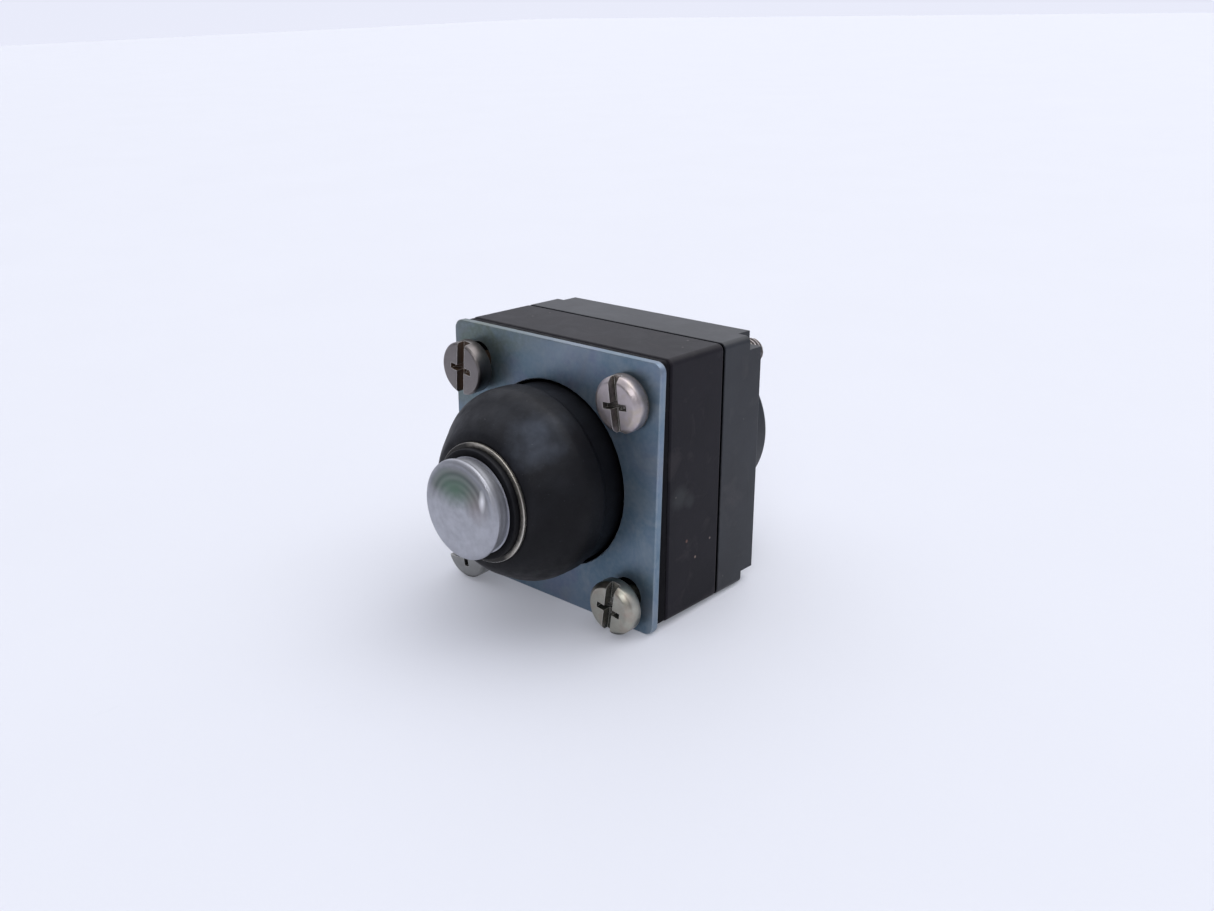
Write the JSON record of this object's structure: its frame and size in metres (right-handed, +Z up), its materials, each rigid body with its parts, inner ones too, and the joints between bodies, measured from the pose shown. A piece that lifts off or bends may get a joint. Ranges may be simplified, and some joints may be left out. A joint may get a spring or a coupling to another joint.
{
  "type": "limit switch plunger operating head",
  "caption": "Square two-piece switch operating head with a booted steel end plunger, front plate, captive corner screws and a rear spigot with a transmission pin.",
  "frame": {"origin": "on the plunger axis, in the plane of the back skirt's edge that meets the switch body", "axes": "+Y along the plunger axis from the plunger to the switch body, +X across the head to the right seen from the front, +Z up"},
  "size_m": [0.04, 0.0561, 0.0402],
  "materials": {
    "plate_zinc": "blue zinc passivate, faintly mottled, satin",
    "boot_rubber": "moulded black rubber, matt, dusty",
    "ring_metal": "pale warm nickel",
    "cap_steel": "fine turned, satin",
    "rod_steel": "ground",
    "front_paint": "brownish black satin paint on die casting",
    "rear_paint": "blue-black satin paint on die casting",
    "gasket_rubber": "matt",
    "bush_bronze": "sintered bronze, matt",
    "screw_steel": "nickel plated, worn, warm grey",
    "spring_steel": "drawn wire",
    "clip_steel": "phosphated",
    "nylon": "natural nylon",
    "acetal": "natural acetal",
    "seat_brass": "turned"
  },
  "bodies": {
    "housing": {"front_plate": "plate_zinc", "boot": "boot_rubber", "return_spring": "spring_steel", "front_housing": "front_paint", "rear_housing": "rear_paint", "housing_gasket": "gasket_rubber", "guide_bush": "bush_bronze", "wiper_seal": "gasket_rubber", "seal_retainer": "rod_steel", "stop_washer": "nylon", "locating_pins": "rod_steel", "housing_screws": "screw_steel", "head_screws": "screw_steel", "mounting_gasket": "gasket_rubber", "spigot_o_ring": "gasket_rubber", "pusher_spring": "spring_steel", "pusher_guide": "nylon", "guide_circlip": "clip_steel"},
    "plunger": {"plunger_cap": "cap_steel", "plunger_rod": "rod_steel", "boot_clamp_ring": "ring_metal", "spring_seat": "seat_brass", "rod_circlip": "clip_steel"},
    "pusher": {"pusher": "acetal"}
  },
  "joints": [
    {"name": "plunger_slide", "type": "slide", "parent": "housing", "child": "plunger", "axis": [0, 1, 0], "range_m": [0, 0.005], "stiffness_N_per_m": 2000, "springref_m": -0.004, "deforming": ["boot", "return_spring"]},
    {"name": "pusher_slide", "type": "slide", "parent": "housing", "child": "pusher", "axis": [0, 1, 0], "range_m": [0, 0.005], "stiffness_N_per_m": 150, "springref_m": -0.003, "deforming": ["pusher_spring"]}
  ],
  "couplings": [
    {"joint": "pusher_slide", "follows": "plunger_slide", "ratio": 1}
  ]
}
